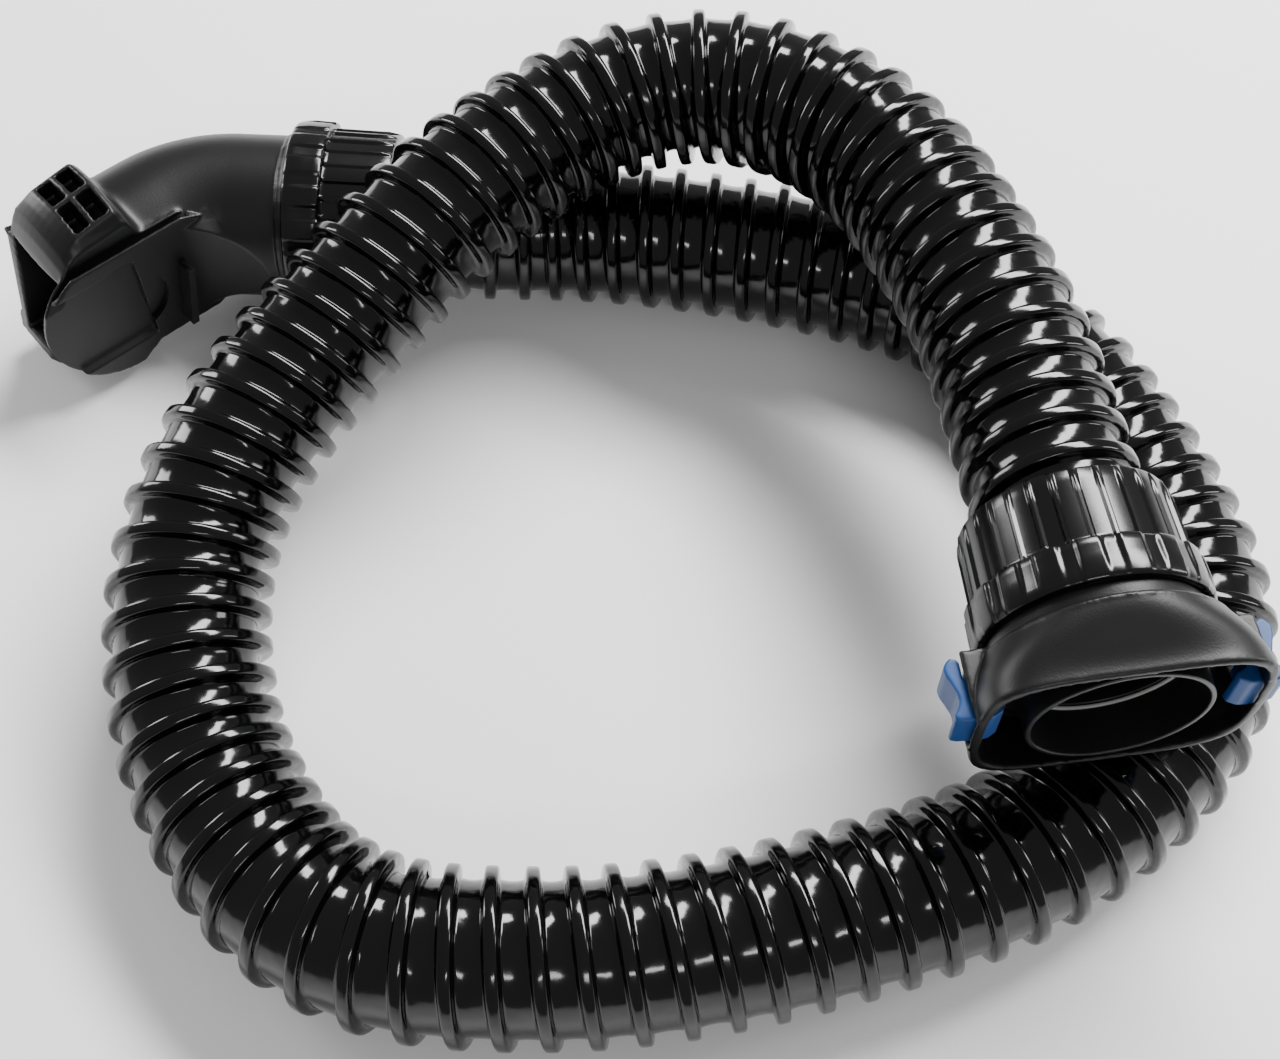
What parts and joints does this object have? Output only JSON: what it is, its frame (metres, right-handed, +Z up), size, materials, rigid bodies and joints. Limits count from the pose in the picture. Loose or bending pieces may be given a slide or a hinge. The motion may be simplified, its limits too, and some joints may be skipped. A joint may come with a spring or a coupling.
{
  "type": "vacuum hose",
  "caption": "Ribbed flexible suction hose lying in a loop, with a screwed latch coupling on one end and a swivelling bent nozzle fitting on the other.",
  "frame": {"origin": "on the surface the hose lies on, under the middle of the box around its end fittings", "axes": "+Z up; +X to the right and -Y to the front, as seen by a person facing the coupling's mouth"},
  "size_m": [0.3995, 0.3135, 0.1108],
  "materials": {
    "hose_vinyl": "very glossy black vinyl",
    "gloss_black": "glossy black moulded plastic",
    "satin_black": "satin black moulded plastic, finely textured",
    "blue_plastic": "semi-gloss blue plastic",
    "black_rubber": "matt black rubber",
    "pale_plastic": "plain natural nylon",
    "spring_steel": "bright spring steel"
  },
  "bodies": {
    "hose": {"hose_tube": "hose_vinyl", "coupling_cuff": "satin_black", "coupling_grip_ring": "pale_plastic", "coupling_gasket": "black_rubber", "coupling_pipe": "satin_black", "coupling_clip": "spring_steel", "coupling_bore_seal": "pale_plastic", "coupling_housing": "satin_black", "latch_pin_left": "spring_steel", "latch_pin_right": "spring_steel", "latch_spring_left": "spring_steel", "latch_spring_right": "spring_steel", "elbow_cuff": "satin_black", "elbow_grip_ring": "pale_plastic"},
    "coupling_slip": {"coupling_thrust_ring": "pale_plastic"},
    "coupling_nut": {"coupling_nut": "gloss_black"},
    "elbow": {"elbow_body": "satin_black", "elbow_gasket": "black_rubber"},
    "elbow_slip": {"elbow_thrust_ring": "pale_plastic"},
    "elbow_nut": {"elbow_nut": "gloss_black"},
    "latch_left": {"latch_lever_left": "blue_plastic"},
    "latch_right": {"latch_lever_right": "blue_plastic"}
  },
  "joints": [
    {"name": "coupling_nut_slide", "type": "slide", "parent": "hose", "child": "coupling_slip", "axis": [-0.1305, 0.9911, 0.0262], "range_m": [0, 0.003]},
    {"name": "coupling_nut_turn", "type": "hinge", "parent": "coupling_slip", "child": "coupling_nut", "pos_m": [0.13951, -0.08022, 0.07778], "axis": [0.1305, -0.9911, -0.0262], "range_deg": [0, 360]},
    {"name": "elbow_swivel", "type": "hinge", "parent": "hose", "child": "elbow", "pos_m": [-0.09695, 0.09059, 0.033], "axis": [-0.9986, 0.0523, 0], "continuous": true},
    {"name": "elbow_nut_slide", "type": "slide", "parent": "elbow", "child": "elbow_slip", "axis": [0.9986, -0.0523, 0], "range_m": [0, 0.003]},
    {"name": "elbow_nut_turn", "type": "hinge", "parent": "elbow_slip", "child": "elbow_nut", "pos_m": [-0.07697, 0.08955, 0.033], "axis": [-0.9986, 0.0523, 0], "range_deg": [0, 360]},
    {"name": "latch_left_press", "type": "hinge", "parent": "hose", "child": "latch_left", "pos_m": [0.10761, -0.11363, 0.07601], "axis": [0.0243, 0.0296, -0.9993], "range_deg": [0, 8], "stiffness_Nm_per_rad": 0.05, "springref_deg": -5.73, "deforming": ["latch_spring_left"]},
    {"name": "latch_right_press", "type": "hinge", "parent": "hose", "child": "latch_right", "pos_m": [0.17897, -0.10429, 0.07802], "axis": [-0.0243, -0.0296, 0.9993], "range_deg": [0, 8], "stiffness_Nm_per_rad": 0.05, "springref_deg": -5.73, "deforming": ["latch_spring_right"]}
  ],
  "couplings": [
    {"joint": "coupling_nut_slide", "follows": "coupling_nut_turn", "m_per_rad": 0.00047746},
    {"joint": "elbow_nut_slide", "follows": "elbow_nut_turn", "m_per_rad": 0.00047746}
  ]
}
